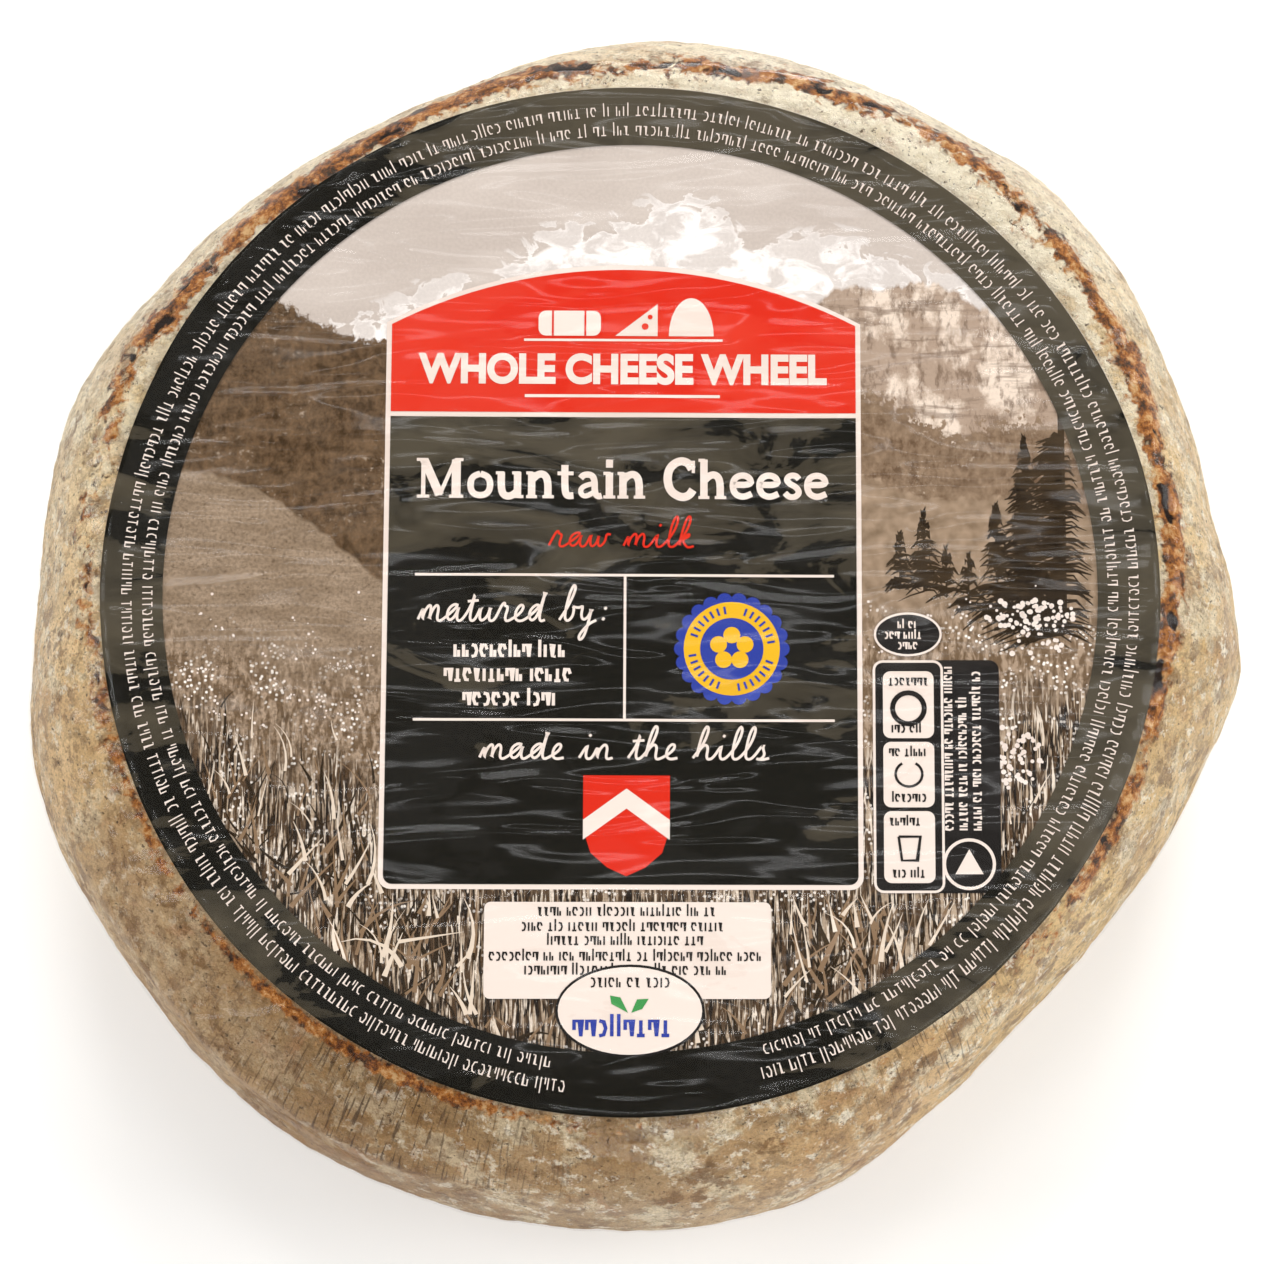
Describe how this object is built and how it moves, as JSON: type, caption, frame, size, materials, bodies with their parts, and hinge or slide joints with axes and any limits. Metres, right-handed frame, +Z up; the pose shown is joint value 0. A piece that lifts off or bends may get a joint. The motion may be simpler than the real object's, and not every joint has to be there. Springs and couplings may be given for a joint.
{
  "type": "cheese wheel",
  "caption": "Whole natural-rind mountain cheese wheel, wrapped in clear film with a round paper label on its top face. Rests flat on its underside.",
  "frame": {"origin": "middle of the underside, at the centre of the bounding box's base, where the wheel rests", "axes": "+Z up out of the top face, +Y towards the top of the front label, +X to the label's right"},
  "size_m": [0.1986, 0.1986, 0.0621],
  "materials": {
    "rind": "dry, floury natural rind",
    "printed_paper": "satin print in sepia, black and red",
    "plain_paper": "matt",
    "clear_film": "clear, glossy"
  },
  "bodies": {
    "root": {"cheese_wheel": "rind", "front_label": "printed_paper", "back_label": "plain_paper", "shrink_film": "clear_film"}
  },
  "joints": []
}
